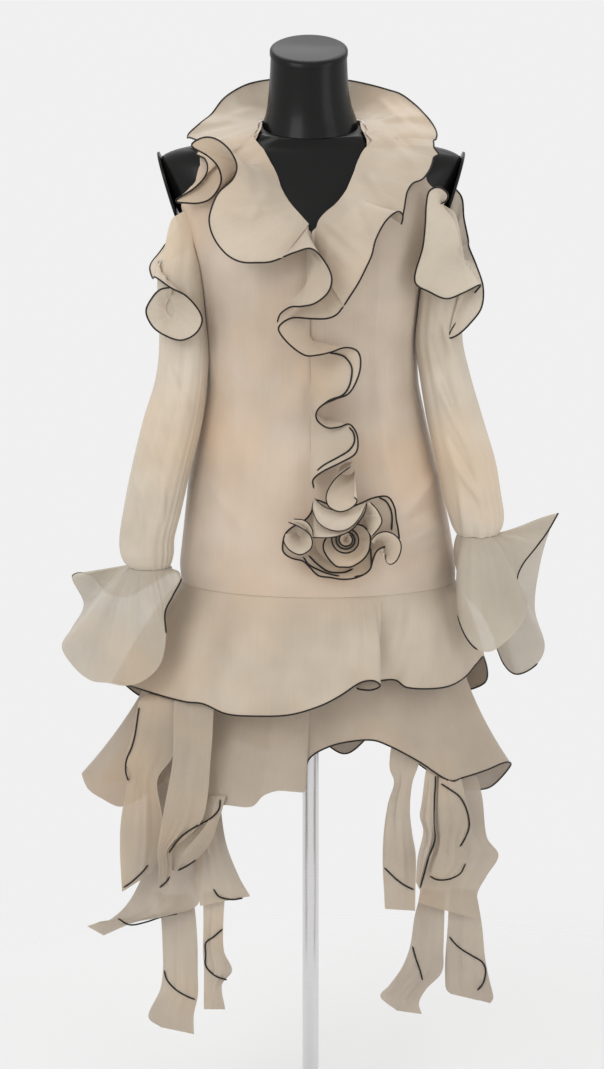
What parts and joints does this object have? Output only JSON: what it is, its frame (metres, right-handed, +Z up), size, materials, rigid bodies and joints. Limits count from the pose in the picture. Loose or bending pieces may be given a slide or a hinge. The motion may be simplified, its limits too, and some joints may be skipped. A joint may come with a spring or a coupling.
{
  "type": "ruffle mini dress on a limbless dress form",
  "caption": "Long-sleeved mini dress with a V neck, ruffle collar, cascade, rosette, flounced skirt and streamers, shown on a limbless display form with a round base.",
  "frame": {"origin": "centre of the stand base's underside, where the part stands on the floor", "axes": "+Z up; the dress's front faces -Y; the wearer's left is +X"},
  "size_m": [0.6559, 0.3452, 1.4913],
  "materials": {
    "organza": "satin",
    "form_shell": "gloss",
    "stand_steel": "brushed"
  },
  "bodies": {
    "root": {"bodice_back": "organza", "bodice_front_left": "organza", "bodice_front_right": "organza", "cascade_ruffle_lower": "organza", "cascade_ruffle_upper": "organza", "collar_ruffle_left": "organza", "collar_ruffle_right": "organza", "cuff_ruffle_left": "organza", "cuff_ruffle_right": "organza", "form_arm_cap_left": "form_shell", "form_arm_cap_right": "form_shell", "form_neck": "form_shell", "form_neck_cap": "form_shell", "form_torso": "form_shell", "rosette_coil": "organza", "rosette_ruffle_inner": "organza", "rosette_ruffle_outer": "organza", "shoulder_ruffle_left": "organza", "shoulder_ruffle_right": "organza", "skirt_lower_flounce": "organza", "skirt_upper_flounce": "organza", "sleeve_left": "organza", "sleeve_right": "organza", "stand_base": "stand_steel", "stand_flange": "stand_steel", "stand_pole": "stand_steel", "stand_socket": "stand_steel", "streamer_left_a": "organza", "streamer_left_b": "organza", "streamer_left_c": "organza", "streamer_left_d": "organza", "streamer_left_e": "organza", "streamer_left_f": "organza", "streamer_right_a": "organza", "streamer_right_b": "organza", "streamer_right_c": "organza", "streamer_right_d": "organza", "streamer_right_e": "organza", "streamer_right_f": "organza", "streamer_right_g": "organza"}
  },
  "joints": []
}
